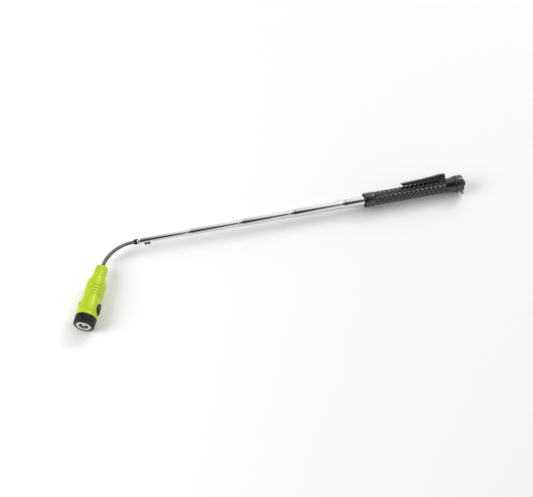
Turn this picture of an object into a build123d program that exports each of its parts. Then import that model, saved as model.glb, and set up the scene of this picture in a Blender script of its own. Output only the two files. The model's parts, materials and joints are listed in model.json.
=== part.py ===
from build123d import *
from math import cos, sin, radians
import os

# Telescoping magnetic pickup tool with a flexible neck and a lighted magnetic head.
# Row frame: the origin is the centre of the butt boss's flat end, on the rod's axis. +X points out of the
# butt, so the rod runs towards -X, and the neck bends the head towards -Y. +Z is up, millimetres.

os.makedirs("parts", exist_ok=True)

# ---- driving dimensions: handle ----
handle_length = 114.5        # butt boss to grip mouth
boss_height = 2.8
boss_radius = 3.7
cap_radius = 9.4
cap_length = 8.9
grip_radius = 7.85           # over the knurl's points
collar_radius = 8.0
neck_radius = 7.95           # plain rear stretch of the grip
bore_radius = 6.2
knurl_front = -103.5
knurl_rear = -22.5
clip_angle = 44.0            # the clip's direction above the horizontal
clip_width = 8.0
clip_rear = -22.0
clip_block = 8.4             # length of the clip's solid rear block
clip_tip = -71.4

# ---- driving dimensions: telescopic tubes ----
tube_radii = [5.2, 4.55, 3.95, 3.4, 2.9]
tube_steps = [20.4, 76.2, 132.0, 188.0]   # where each mouth is rolled down, from the grip mouth
rolled_length = 7.5
tube_wall = 0.35
slide_clearance = 0.05
bush_length = 7.8
tip_end = 248.0              # end of the thinnest tube, from the grip mouth
tube_1_inside = 56.0         # length of the first tube inside the grip

# ---- driving dimensions: flexible neck ----
ferrule_nose = 4.0
link_pitch = 5.85
link_count = 7
link_radius = 2.1
ball_radius = 1.45
socket_radius = 1.53
stem_radius = 0.75
pin_radius = 0.4             # cross pin that each ball turns on
pin_clearance = 0.04
bend_per_hinge = 8.4         # degrees at rest

# ---- driving dimensions: head, as stations from its front face ----
head_length = 71.0
bezel_length = 9.8
bezel_radius = 11.25
shell_rear = 58.4
shell_radius = 9.65
cell_radius = 5.25
cell_length = 44.5
magnet_radius = 7.55
magnet_bore = 5.0
magnet_length = 4.5
flute_count = 8
lobe_count = 12
switch_station = 21.2
switch_length = 13.0
switch_width = 10.4
switch_travel = 2.5

# ---- frames: z runs along the piece, x is a radial direction ----
mouth = -handle_length
rod = Plane(origin=(0, 0, 0), x_dir=(0, 1, 0), z_dir=(1, 0, 0))
clip_side = Plane(origin=(0, 0, 0), x_dir=(1, 0, 0),
                  z_dir=(0, -sin(radians(clip_angle)), cos(radians(clip_angle))))
upward = clip_side.y_dir     # from the rod's axis towards the clip


def neck_direction(degrees):
    """Direction towards the head after the neck has turned by this much from the rod."""
    return Vector(-cos(radians(degrees)), -sin(radians(degrees)), 0)


hinge = Vector(mouth - tip_end - ferrule_nose - link_pitch / 2, 0, 0)
link_frames = []
for number in range(1, link_count + 2):
    along = neck_direction(number * bend_per_hinge)
    link_frames.append(Plane(origin=hinge, x_dir=(0, 0, 1), z_dir=along))
    hinge = hinge + along * link_pitch

head_axis = link_frames[-1].z_dir
head_tail = link_frames[-1].origin + head_axis * (link_pitch / 2)
head_front = head_tail + head_axis * head_length
head = Plane(origin=head_front, x_dir=(-head_axis.Y, head_axis.X, 0), z_dir=-head_axis)
switch_face = Plane(origin=head_front - head_axis * switch_station, x_dir=head.z_dir, z_dir=head.x_dir)


# ---- shared operations ----
def turn(frame, *outline, mode=Mode.ADD):
    """Turn a closed half outline of (radius, station) points about the frame's z axis."""
    half = Plane(frame.origin, x_dir=frame.x_dir, z_dir=frame.x_dir.cross(frame.z_dir))
    with BuildSketch(half) as section:
        with BuildLine():
            Polyline(*outline, close=True)
        make_face()
    revolve(section.sketch, axis=Axis(frame.origin, frame.z_dir), mode=mode)


def ring(frame, inner, outer, start, end, mode=Mode.ADD):
    """A plain ring or, with inner 0, a disc between two stations."""
    turn(frame, (inner, start), (outer, start), (outer, end), (inner, end), mode=mode)


# ================= handle =================
# Grip: turned aluminium sleeve with a smooth front collar, a knurled length and a flared rear.
flare_front = -16.8
grip_rear = -boss_height - cap_length - 0.6
mouth_recess = 4.0
pad_height = 7.3             # flat cut in the grip for the clip's block
clip_top = 13.9
clip_wall = 0.9
rivet_radius = 1.0
rivet_stations = [clip_rear - 2.2, clip_rear - 6.2]


def rivet_shanks(bottom, top, mode=Mode.ADD):
    """The two clip rivets' shanks, between two heights over the rod's axis."""
    for station in rivet_stations:
        with Locations(Plane(origin=Vector(station, 0, 0) + upward * bottom, z_dir=upward)):
            Cylinder(rivet_radius, top - bottom, align=(Align.CENTER, Align.CENTER, Align.MIN), mode=mode)


with BuildPart() as grip_sleeve:
    turn(rod,
         (bore_radius, grip_rear), (9.0, grip_rear), (9.0, grip_rear - 0.8), (neck_radius, flare_front),
         (neck_radius, knurl_rear), (grip_radius, knurl_rear - 0.5), (grip_radius, knurl_front + 0.5),
         (collar_radius - 0.5, knurl_front), (collar_radius, knurl_front - 0.5),
         (collar_radius, mouth + 0.6), (collar_radius - 0.5, mouth), (bore_radius + 0.9, mouth),
         (bore_radius + 0.7, mouth + mouth_recess), (bore_radius, mouth + mouth_recess))
    with BuildSketch(clip_side):
        with Locations((clip_rear - clip_block / 2, pad_height + 2.0)):
            Rectangle(clip_block + 0.8, 4.0)
    extrude(amount=clip_width / 2 + 0.2, both=True, mode=Mode.SUBTRACT)
    rivet_shanks(bore_radius - 0.5, clip_top, mode=Mode.SUBTRACT)
grip_sleeve.part.label = "grip_sleeve"
export_step(grip_sleeve.part, "parts/grip_sleeve.step")

# End cap: pressed into the grip's rear, with a shallow groove left between the two.
spigot_length = 8.0
eye_station = -4.0
eye_shank = 0.55
with BuildPart() as end_cap:
    turn(rod,
         (0, -boss_height), (cap_radius - 2.0, -boss_height), (cap_radius - 0.5, -boss_height - 0.5),
         (cap_radius, -boss_height - 1.2), (cap_radius, -boss_height - cap_length + 0.5),
         (cap_radius - 0.5, -boss_height - cap_length), (cap_radius - 1.3, -boss_height - cap_length),
         (cap_radius - 1.3, grip_rear), (bore_radius, grip_rear), (bore_radius, grip_rear - spigot_length),
         (0, grip_rear - spigot_length))
    with Locations(Plane(origin=Vector(eye_station, 0, 0) - upward * cap_radius, z_dir=upward)):
        Cylinder(eye_shank, 4.0, mode=Mode.SUBTRACT)
end_cap.part.label = "end_cap"
export_step(end_cap.part, "parts/end_cap.step")

# Butt boss: a low flat-ended plug seated on the cap's end.
with BuildPart() as butt_boss:
    turn(rod, (0, -boss_height), (boss_radius, -boss_height), (boss_radius - 0.2, -0.4),
         (boss_radius - 0.6, 0), (0, 0))
butt_boss.part.label = "butt_boss"
export_step(butt_boss.part, "parts/butt_boss.step")

# Lanyard eye: a steel tab with a drilled hole, its shank pressed into the cap opposite the clip.
eye_radius = 1.6
eye_hole = 0.8
eye_reach = cap_radius + 1.7
eye_thickness = 1.2
with BuildPart() as lanyard_eye:
    with BuildSketch(clip_side):
        with Locations((eye_station, -eye_reach)):
            Circle(eye_radius)
            Circle(eye_hole, mode=Mode.SUBTRACT)
    extrude(amount=eye_thickness / 2, both=True)
    with Locations(Plane(origin=Vector(eye_station, 0, 0) - upward * (cap_radius + 0.4), z_dir=upward)):
        Cylinder(eye_shank, 2.4, align=(Align.CENTER, Align.CENTER, Align.MIN))
lanyard_eye.part.label = "lanyard_eye"
export_step(lanyard_eye.part, "parts/lanyard_eye.step")

# Pocket clip: a channel whose walls straddle the grip, on a solid rear block, with a ramped lip in front.
with BuildPart() as pocket_clip:
    with BuildSketch(clip_side):
        with BuildLine():
            Polyline((clip_rear - 0.4, pad_height), (clip_rear, clip_top), (clip_rear - 4.0, clip_top),
                     (-36.0, 13.0), (-48.0, 12.2), (-62.0, 11.6), (clip_tip, 11.3), (clip_tip + 1.8, 8.3),
                     (clip_tip + 2.8, 8.25), (-66.0, 8.4), (-53.0, 8.0), (clip_rear - clip_block - 0.6, 7.7),
                     (clip_rear - clip_block, 7.5), (clip_rear - clip_block, pad_height), close=True)
        make_face()
    extrude(amount=clip_width / 2, both=True)
    with BuildSketch(clip_side):
        with BuildLine():
            Polyline((-31.6, 7.0), (-31.6, 12.3), (-36.0, 12.0), (-48.0, 11.2), (-62.0, 10.6),
                     (-66.0, 10.4), (-66.0, 7.0), close=True)
        make_face()
    extrude(amount=clip_width / 2 - clip_wall, both=True, mode=Mode.SUBTRACT)
    for side in (-1, 1):
        with BuildSketch(clip_side.offset(side * clip_width / 2)):
            with Locations((clip_rear - 4.2, 10.4)):
                Rectangle(3.8, 4.0)
        extrude(amount=-side * 0.6, mode=Mode.SUBTRACT)
    rivet_shanks(pad_height - 1.0, clip_top + 1.0, mode=Mode.SUBTRACT)
pocket_clip.part.label = "pocket_clip"
export_step(pocket_clip.part, "parts/pocket_clip.step")

# Clip rivets: two flush rivets through the clip's block into the grip's wall.
with BuildPart() as clip_rivets:
    rivet_shanks(bore_radius + 0.2, clip_top)
clip_rivets.part.label = "clip_rivets"
export_step(clip_rivets.part, "parts/clip_rivets.step")

# Tube bushes: two pressed rings that hold the first tube on the grip's axis.
tube_1_end = mouth + tube_1_inside
with BuildPart() as front_bush:
    ring(rod, tube_radii[0], bore_radius, mouth + mouth_recess + 1.0, mouth + mouth_recess + 11.0)
front_bush.part.label = "front_bush"
export_step(front_bush.part, "parts/front_bush.step")

with BuildPart() as rear_bush:
    turn(rod, (tube_radii[0], tube_1_end - 10.0), (bore_radius, tube_1_end - 10.0),
         (bore_radius, tube_1_end + 1.5), (tube_radii[0] - 0.8, tube_1_end + 1.5),
         (tube_radii[0] - 0.8, tube_1_end), (tube_radii[0], tube_1_end))
rear_bush.part.label = "rear_bush"
export_step(rear_bush.part, "parts/rear_bush.step")

# ================= telescopic tubes =================
# Each chromed tube is rolled down at its mouth onto the next one. Its inner end carries a friction bush
# that slides in the tube around it and stops against that tube's rolled mouth.
tube_ends = [tube_1_end] + [mouth - step + bush_length + 0.2 for step in tube_steps]
bush_radii = [radius - tube_wall - slide_clearance for radius in tube_radii[:-1]]
tip_x = mouth - tip_end
bush_groove = 0.12           # the thinnest tube turns in its bush, which sits in a shallow groove
groove_play = 0.05

for index, step in enumerate(tube_steps):
    outer = tube_radii[index]
    rolled = tube_radii[index + 1] + slide_clearance
    step_x = mouth - step
    with BuildPart() as tube:
        turn(rod,
             (outer, tube_ends[index]), (outer, step_x), (rolled + tube_wall, step_x - 1.0),
             (rolled + tube_wall, step_x - rolled_length), (rolled, step_x - rolled_length),
             (rolled, step_x - 1.0), (outer - tube_wall, step_x), (outer - tube_wall, tube_ends[index]))
    tube.part.label = f"tube_{index + 1}"
    export_step(tube.part, f"parts/tube_{index + 1}.step")

tip_outer = tube_radii[-1]
tip_inner = tip_outer - tube_wall
groove_start = tube_ends[-1] - 0.6
groove_end = groove_start - bush_length + 1.2
with BuildPart() as tube_5:
    turn(rod,
         (tip_outer, tube_ends[-1]), (tip_outer, groove_start), (tip_outer - bush_groove, groove_start),
         (tip_outer - bush_groove, groove_end), (tip_outer, groove_end), (tip_outer, tip_x),
         (tip_inner, tip_x), (tip_inner, tube_ends[-1]))
tube_5.part.label = "tube_5"
export_step(tube_5.part, "parts/tube_5.step")

for index, outer in enumerate(bush_radii[:-1]):
    end = tube_ends[index + 1]
    with BuildPart() as bush:
        ring(rod, tube_radii[index + 1], outer, end - bush_length, end)
    bush.part.label = f"friction_bush_{index + 2}"
    export_step(bush.part, f"parts/friction_bush_{index + 2}.step")

with BuildPart() as friction_bush_5:
    ring(rod, tip_outer - bush_groove + groove_play, bush_radii[-1], groove_end + 0.1, groove_start - 0.1)
friction_bush_5.part.label = "friction_bush_5"
export_step(friction_bush_5.part, "parts/friction_bush_5.step")

# Crimp ring: closes the thinnest tube's end over the ferrule.
crimp_length = 2.6
with BuildPart() as crimp_ring:
    turn(rod, (tip_outer, tip_x), (tip_outer + 0.15, tip_x), (tip_outer + 0.35, tip_x + 0.4),
         (tip_outer + 0.35, tip_x + crimp_length - 0.4), (tip_outer + 0.15, tip_x + crimp_length),
         (tip_outer, tip_x + crimp_length))
crimp_ring.part.label = "crimp_ring"
export_step(crimp_ring.part, "parts/crimp_ring.step")

# Stop nub: a two-lobed rubber stop bonded under the thinnest tube, ahead of the fourth tube's mouth.
nub_stations = [tip_x + 8.6, tip_x + 11.8]
with BuildPart() as stop_nub:
    for station in nub_stations:
        with Locations(Vector(station, 0, 0) - upward * (tip_outer + 0.35)):
            Sphere(1.75)
    ring(rod, 0, tip_outer, nub_stations[0] - 4.0, nub_stations[1] + 4.0, mode=Mode.SUBTRACT)
stop_nub.part.label = "stop_nub"
export_step(stop_nub.part, "parts/stop_nub.step")

# ================= flexible neck =================
# Ferrule: a dark plug in the thinnest tube, with a rounded nose that holds the neck's root.
nose_x = tip_x - ferrule_nose
root_x = tip_x - 0.5
with BuildPart() as neck_ferrule:
    turn(rod,
         (0, tip_x + 12.0), (tip_inner, tip_x + 12.0), (tip_inner, tip_x), (tip_outer + 0.1, tip_x),
         (tip_outer + 0.1, tip_x - 1.6), (link_radius + 0.6, nose_x + 0.5), (link_radius + 0.3, nose_x),
         (link_radius, nose_x), (link_radius, root_x), (0, root_x))
neck_ferrule.part.label = "neck_ferrule"
export_step(neck_ferrule.part, "parts/neck_ferrule.step")

# Neck: a chain of links, each with a ball in the socket of the one before it, on an upright cross pin.
body_start = 1.75
cup_overlap = 0.7
cup_end = link_pitch + cup_overlap


def pinned_ball(place):
    """A ball with its upright cross pin."""
    with Locations(place):
        Sphere(ball_radius)
        Cylinder(pin_radius, 2 * link_radius - 0.3)


def pinned_socket(place):
    """The hollow and the cross hole that take a pinned ball."""
    with Locations(place):
        Sphere(socket_radius, mode=Mode.SUBTRACT)
        Cylinder(pin_radius + pin_clearance, 3 * link_radius, mode=Mode.SUBTRACT)


def link_shape(frame):
    """Ball, stem and socket cup, with the ball at the frame's origin."""
    turn(frame, (0, 0), (stem_radius, 0), (stem_radius, body_start), (link_radius - 0.45, body_start),
         (link_radius, body_start + 0.6), (link_radius, cup_end - 0.3), (link_radius - 0.3, cup_end),
         (0, cup_end))
    pinned_ball(frame.origin)
    pinned_socket(frame.origin + frame.z_dir * link_pitch)


with BuildPart() as neck_root:
    turn(rod, (0, root_x), (link_radius, root_x), (link_radius, nose_x - link_pitch / 2 - cup_overlap + 0.3),
         (link_radius - 0.3, nose_x - link_pitch / 2 - cup_overlap), (0, nose_x - link_pitch / 2 - cup_overlap))
    pinned_socket(link_frames[0].origin)
neck_root.part.label = "neck_root"
export_step(neck_root.part, "parts/neck_root.step")

for number, frame in enumerate(link_frames[:-1], start=1):
    with BuildPart() as link:
        link_shape(frame)
    link.part.label = f"neck_link_{number}"
    export_step(link.part, f"parts/neck_link_{number}.step")

# Neck anchor: the last ball, on a shank held in the tail nut by a flange.
anchor_flange = 58.6
with BuildPart() as neck_anchor:
    ball_station = head_length + link_pitch / 2
    shank_start = ball_station - body_start
    turn(head, (0, ball_station), (stem_radius, ball_station), (stem_radius, shank_start),
         (link_radius - 0.45, shank_start), (link_radius, shank_start - 0.6), (link_radius, anchor_flange),
         (3.2, anchor_flange), (3.2, anchor_flange - 1.0), (0, anchor_flange - 1.0))
    pinned_ball(link_frames[-1].origin)
neck_anchor.part.label = "neck_anchor"
export_step(neck_anchor.part, "parts/neck_anchor.step")

# ================= head =================
# Tail nut: fluted lime aluminium collar screwed into the shell, holding the neck anchor.
tail_radius = 6.65
nut_spigot = 5.6
with BuildPart() as tail_nut:
    turn(head,
         (link_radius, anchor_flange), (4.6, anchor_flange), (4.6, 55.6), (nut_spigot, 55.6),
         (nut_spigot, shell_rear), (tail_radius, shell_rear), (tail_radius, head_length - 1.2),
         (tail_radius - 1.2, head_length), (link_radius, head_length))
    with BuildSketch(head.offset(shell_rear + 1.4)):
        with PolarLocations(8.9, flute_count, start_angle=180 / flute_count):
            Circle(2.9)
    extrude(amount=head_length, mode=Mode.SUBTRACT)
tail_nut.part.label = "tail_nut"
export_step(tail_nut.part, "parts/tail_nut.step")

# Head shell: lime aluminium body with four ring grooves, a stepped tail, a flared front collar and an oval
# boss on each side, the one towards the bend's outside cut for the switch.
spigot_front = 6.0
spigot_radius = 9.6
board_seat = 8.4
board_bore = 8.2
cell_bore = 5.75
boss_top = 10.75
pocket_floor = 7.7
groove_stations = [33.35, 36.7, 40.05, 43.4]
groove_width = 1.5
groove_depth = 0.5
with BuildPart() as head_shell:
    turn(head,
         (board_bore, spigot_front), (spigot_radius, spigot_front), (spigot_radius, bezel_length + 0.3),
         (bezel_radius, bezel_length + 0.3), (bezel_radius - 0.1, bezel_length + 1.0), (10.6, 13.4),
         (10.15, 13.8), (10.15, 14.5), (10.45, 14.9), (10.2, 23.0), (9.8, 29.0), (shell_radius, 32.0),
         (shell_radius, 51.8), (9.2, 52.6), (8.1, 53.2), (8.0, 54.2), (7.8, 57.0), (7.1, shell_rear),
         (cell_bore, shell_rear), (cell_bore, board_seat), (board_bore, board_seat))
    for station in groove_stations:
        turn(head, (shell_radius - groove_depth, station), (shell_radius + 1, station - 0.3),
             (shell_radius + 1, station + groove_width + 0.3),
             (shell_radius - groove_depth, station + groove_width), mode=Mode.SUBTRACT)
    with BuildSketch(switch_face.offset(-boss_top)):
        Ellipse(switch_length / 2, switch_width / 2)
    extrude(amount=2.6, taper=-20)
    with BuildSketch(switch_face.offset(pocket_floor)):
        Ellipse(switch_length / 2, switch_width / 2)
    extrude(amount=5, mode=Mode.SUBTRACT)
head_shell.part.label = "head_shell"
export_step(head_shell.part, "parts/head_shell.step")

# Switch frame: black oval moulding set in the shell's pocket, with a straight recess for the slider.
recess_length = 8.6
recess_width = 5.4
recess_floor = 9.0
slider_length = recess_length - switch_travel - 0.2
slider_centre = -switch_travel / 2
with BuildPart() as switch_frame:
    with BuildSketch(switch_face.offset(pocket_floor)):
        Ellipse(switch_length / 2, switch_width / 2)
    extrude(amount=boss_top + 0.15 - pocket_floor)
    fillet(switch_frame.edges().filter_by(GeomType.ELLIPSE).sort_by(Axis(head_front, head.x_dir))[-1], 0.5)
    with BuildSketch(switch_face.offset(recess_floor)):
        RectangleRounded(recess_length, recess_width, 0.8)
    extrude(amount=4, mode=Mode.SUBTRACT)
    with BuildSketch(switch_face.offset(pocket_floor)):
        Rectangle(7.0, 3.4)
    extrude(amount=0.8, mode=Mode.SUBTRACT)
switch_frame.part.label = "switch_frame"
export_step(switch_frame.part, "parts/switch_frame.step")

# Switch slider: black thumb slide with three cross ridges, at the bezel end of its travel.
slider_base = recess_floor + 0.05
slider_top = 10.9
ridge_height = 0.75
ridge_pitch = 1.75
with BuildPart() as switch_slider:
    with BuildSketch(switch_face.offset(slider_base)):
        with Locations((slider_centre, 0)):
            RectangleRounded(slider_length, recess_width - 0.2, 0.6)
    extrude(amount=slider_top - slider_base)
    with BuildSketch(switch_face.offset(slider_top)):
        with Locations((slider_centre, 0)):
            with GridLocations(ridge_pitch, 0, 3, 1):
                Rectangle(0.9, recess_width - 0.8)
    extrude(amount=ridge_height, taper=12)
switch_slider.part.label = "switch_slider"
export_step(switch_slider.part, "parts/switch_slider.step")

# Switch contact: brass leaf in the pocket under the switch frame.
with BuildPart() as switch_contact:
    with BuildSketch(switch_face.offset(pocket_floor)):
        Rectangle(6.6, 3.0)
    extrude(amount=0.3)
    with BuildSketch(switch_face.offset(pocket_floor + 0.3)):
        with GridLocations(3.6, 0, 2, 1):
            Circle(0.6)
    extrude(amount=0.4)
switch_contact.part.label = "switch_contact"
export_step(switch_contact.part, "parts/switch_contact.step")

# Battery: one AAA cell, its positive button towards the light.
cell_front = 9.0
cell_rear = cell_front + cell_length
with BuildPart() as battery_cell:
    turn(head, (0, cell_front), (1.9, cell_front), (1.9, cell_front + 0.9), (cell_radius - 0.6, cell_front + 0.9),
         (cell_radius, cell_front + 1.5), (cell_radius, cell_rear - 0.5), (cell_radius - 0.5, cell_rear),
         (0, cell_rear))
battery_cell.part.label = "battery_cell"
export_step(battery_cell.part, "parts/battery_cell.step")

# Battery sleeve: thin insulating tube between the cell and the shell.
with BuildPart() as battery_sleeve:
    ring(head, cell_radius + 0.1, cell_bore - 0.05, cell_front + 2.0, cell_rear + 1.0)
battery_sleeve.part.label = "battery_sleeve"
export_step(battery_sleeve.part, "parts/battery_sleeve.step")

# Rear spring: coiled wire spring between the cell and the neck anchor's flange.
wire_radius = 0.3
spring_radius = 3.6
spring_length = anchor_flange - 1.0 - cell_rear - 2 * wire_radius - 0.1
with BuildPart() as rear_spring:
    with BuildLine() as coil:
        Helix(pitch=spring_length / 3, height=spring_length, radius=spring_radius,
              center=head.origin + head.z_dir * (cell_rear + wire_radius + 0.05), direction=head.z_dir)
    with BuildSketch(Plane(origin=coil.line @ 0, z_dir=coil.line % 0)):
        Circle(wire_radius)
    sweep(is_frenet=True)
rear_spring.part.label = "rear_spring"
export_step(rear_spring.part, "parts/rear_spring.step")

# Light module: contact, circuit board, aluminium post, chip and clear dome, fixed in the shell's front.
board_front = 7.2
post_front = 3.2
post_radius = 3.5
chip_side = 2.6
chip_thickness = 0.5
with BuildPart() as front_contact:
    ring(head, 0, 2.2, board_seat, board_seat + 0.55)
front_contact.part.label = "front_contact"
export_step(front_contact.part, "parts/front_contact.step")

with BuildPart() as light_board:
    ring(head, 0, board_bore - 0.05, board_front, board_seat)
light_board.part.label = "light_board"
export_step(light_board.part, "parts/light_board.step")

with BuildPart() as light_post:
    ring(head, 0, post_radius, post_front, board_front)
light_post.part.label = "light_post"
export_step(light_post.part, "parts/light_post.step")

with BuildPart() as light_chip:
    with BuildSketch(head.offset(post_front - chip_thickness)):
        Rectangle(chip_side, chip_side)
    extrude(amount=chip_thickness)
light_chip.part.label = "light_chip"
export_step(light_chip.part, "parts/light_chip.step")

lens_radius = 3.1
with BuildPart() as light_lens:
    with Locations(head.origin + head.z_dir * post_front):
        Sphere(lens_radius)
    ring(head, 0, lens_radius + 1, post_front, post_front + lens_radius + 1, mode=Mode.SUBTRACT)
    ring(head, 0, chip_side * 0.75, post_front - chip_thickness, post_front + 1, mode=Mode.SUBTRACT)
light_lens.part.label = "light_lens"
export_step(light_lens.part, "parts/light_lens.step")

# Magnet group: a nickel-plated ring magnet and its steel backing plate, held in the bezel.
pocket_depth = 5.5
with BuildPart() as magnet_ring:
    turn(head, (magnet_bore, 0.25), (magnet_bore + 0.25, 0), (magnet_radius - 0.3, 0), (magnet_radius, 0.3),
         (magnet_radius, magnet_length), (magnet_bore, magnet_length))
magnet_ring.part.label = "magnet_ring"
export_step(magnet_ring.part, "parts/magnet_ring.step")

with BuildPart() as magnet_backing:
    ring(head, post_radius + 0.5, magnet_radius, magnet_length, pocket_depth)
magnet_backing.part.label = "magnet_backing"
export_step(magnet_backing.part, "parts/magnet_backing.step")

with BuildPart() as magnet_liner:
    ring(head, post_radius + 0.6, magnet_bore, 0.9, magnet_length)
magnet_liner.part.label = "magnet_liner"
export_step(magnet_liner.part, "parts/magnet_liner.step")

# Bezel: black cap screwed over the shell's spigot, its front edge cut into rounded lobes.
bezel_front = 0.3
lobe_length = 3.8
lobe_radius = 10.9
with BuildPart() as bezel:
    turn(head,
         (magnet_radius, bezel_front), (lobe_radius - 0.8, bezel_front), (lobe_radius, bezel_front + 0.8),
         (lobe_radius, lobe_length - 0.6), (lobe_radius - 0.6, lobe_length - 0.3),
         (lobe_radius - 0.6, lobe_length), (lobe_radius, lobe_length + 0.3),
         (bezel_radius, bezel_length - 1.0), (bezel_radius - 0.15, bezel_length),
         (spigot_radius + 0.05, bezel_length), (spigot_radius + 0.05, pocket_depth),
         (magnet_radius, pocket_depth))
    with BuildSketch(head):
        with PolarLocations(lobe_radius + 1.0, lobe_count, start_angle=180 / lobe_count):
            Circle(1.9)
    extrude(amount=lobe_length - 0.4, mode=Mode.SUBTRACT)
bezel.part.label = "bezel"
export_step(bezel.part, "parts/bezel.step")

# Bezel washer: thin rubber ring between the bezel and the shell's collar.
with BuildPart() as bezel_washer:
    ring(head, spigot_radius + 0.05, bezel_radius - 0.4, bezel_length, bezel_length + 0.3)
bezel_washer.part.label = "bezel_washer"
export_step(bezel_washer.part, "parts/bezel_washer.step")
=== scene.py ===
import json
import math
import bpy
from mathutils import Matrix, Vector


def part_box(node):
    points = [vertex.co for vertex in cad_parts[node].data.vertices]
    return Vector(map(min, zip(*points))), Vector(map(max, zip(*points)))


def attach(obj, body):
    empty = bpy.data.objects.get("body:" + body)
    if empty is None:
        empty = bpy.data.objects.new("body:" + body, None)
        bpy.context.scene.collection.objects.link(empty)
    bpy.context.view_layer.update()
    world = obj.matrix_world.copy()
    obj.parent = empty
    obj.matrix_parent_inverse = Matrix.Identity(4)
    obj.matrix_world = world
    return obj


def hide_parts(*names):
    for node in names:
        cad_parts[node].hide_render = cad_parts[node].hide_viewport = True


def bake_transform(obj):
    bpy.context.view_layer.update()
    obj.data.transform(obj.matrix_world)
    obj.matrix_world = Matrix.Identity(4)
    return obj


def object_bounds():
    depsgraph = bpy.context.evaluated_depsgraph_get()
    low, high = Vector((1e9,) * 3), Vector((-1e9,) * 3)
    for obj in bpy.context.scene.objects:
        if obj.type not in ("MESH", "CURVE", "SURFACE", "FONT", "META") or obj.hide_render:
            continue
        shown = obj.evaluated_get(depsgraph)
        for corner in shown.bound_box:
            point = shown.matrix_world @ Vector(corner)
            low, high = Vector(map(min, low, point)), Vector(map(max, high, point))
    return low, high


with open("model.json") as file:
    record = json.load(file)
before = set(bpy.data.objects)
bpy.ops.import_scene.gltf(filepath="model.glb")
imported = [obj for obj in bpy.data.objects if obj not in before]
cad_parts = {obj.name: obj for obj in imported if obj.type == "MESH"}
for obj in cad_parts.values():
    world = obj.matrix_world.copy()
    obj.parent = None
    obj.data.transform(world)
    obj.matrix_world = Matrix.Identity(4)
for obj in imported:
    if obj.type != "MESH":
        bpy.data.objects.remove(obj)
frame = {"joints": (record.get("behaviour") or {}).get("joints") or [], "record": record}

cad_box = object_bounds()
joints = {joint["name"]: joint for joint in frame["joints"]}
mounts = {mount["name"]: mount for mount in frame["record"]["mounts"]}

# ---------------------------------------------------------------------------------------------
# Studio: a pale matt floor that the tool lies on, a soft light above and behind it on the right, a
# second one on the left, and a pale room with dark places for the chrome to reflect.
floor_level = cad_box[0].z
bpy.ops.object.select_all(action="DESELECT")
bpy.ops.mesh.primitive_plane_add(size=8.0, location=(-0.23, 0.0, floor_level))
floor = bpy.context.object
floor.name = "studio_floor"
floor_paint = bpy.data.materials.new("floor_paint")
floor_paint.use_nodes = True
floor_shader = floor_paint.node_tree.nodes["Principled BSDF"]
floor_shader.inputs["Base Color"].default_value = (0.9, 0.9, 0.9, 1)
floor_shader.inputs["Roughness"].default_value = 0.9
floor_shader.inputs["Specular IOR Level"].default_value = 0.1
floor.data.materials.append(floor_paint)


def soft_light(name, place, aim, size, power):
    """A square area light that faces a point."""
    bpy.ops.object.light_add(type="AREA", location=place)
    light = bpy.context.object
    light.name = name
    light.data.size = size
    light.data.energy = power
    light.rotation_euler = (Vector(aim) - Vector(place)).to_track_quat("-Z", "Y").to_euler()


middle = (-0.23, -0.03, 0.0)
soft_light("back_light", (0.9, 0.9, 1.2), middle, 0.8, 11)
soft_light("left_light", (-1.5, -0.1, 0.9), middle, 1.0, 15)

# The room is pale. A dark card fills it round the main camera's place, fixed there whatever the view, and
# a dark band stands a little to the left.
room = bpy.data.worlds.new("room")
bpy.context.scene.world = room
room.use_nodes = True
room_nodes = room.node_tree.nodes
room_links = room.node_tree.links
room_way = room_nodes.new("ShaderNodeTexCoord")
room_parts = room_nodes.new("ShaderNodeSeparateXYZ")
room_across = room_nodes.new("ShaderNodeMapRange")
room_across.inputs["From Min"].default_value = -1
card_way = (-0.118, -0.536, 0.836)
room_toward = room_nodes.new("ShaderNodeVectorMath")
room_toward.operation = "DOT_PRODUCT"
room_toward.inputs[1].default_value = card_way
room_card = room_nodes.new("ShaderNodeValToRGB")
room_left_right = room_nodes.new("ShaderNodeValToRGB")
room_paint = room_nodes.new("ShaderNodeMix")
room_paint.data_type = "RGBA"
room_paint.blend_type = "MULTIPLY"
room_paint.inputs["Factor"].default_value = 1.0
room_strength = 1.4


def shade_ramp(ramp, stops):
    """Sets a grey ramp's stops."""
    while len(ramp.elements) < len(stops):
        ramp.elements.new(0.5)
    for element, (position, shade) in zip(ramp.elements, stops):
        element.position = position
        element.color = (shade, shade, shade, 1)


shade_ramp(room_card.color_ramp, [(0.45, 1.0), (0.7, 0.8), (0.84, 0.4), (0.93, 0.08), (0.98, 0.03)])
shade_ramp(room_left_right.color_ramp, [(0.0, 0.5), (0.2, 0.4), (0.325, 0.15), (0.4, 0.35), (0.5, 0.65),
                                       (0.6, 1.0), (1.0, 0.6)])
room_links.new(room_way.outputs["Generated"], room_parts.inputs["Vector"])
room_links.new(room_way.outputs["Generated"], room_toward.inputs[0])
room_links.new(room_parts.outputs["X"], room_across.inputs["Value"])
room_links.new(room_across.outputs["Result"], room_left_right.inputs["Fac"])
room_links.new(room_toward.outputs["Value"], room_card.inputs["Fac"])
room_links.new(room_card.outputs["Color"], room_paint.inputs["A"])
room_links.new(room_left_right.outputs["Color"], room_paint.inputs["B"])
room_links.new(room_paint.outputs["Result"], room_nodes["Background"].inputs["Color"])
room_nodes["Background"].inputs["Strength"].default_value = room_strength

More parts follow.
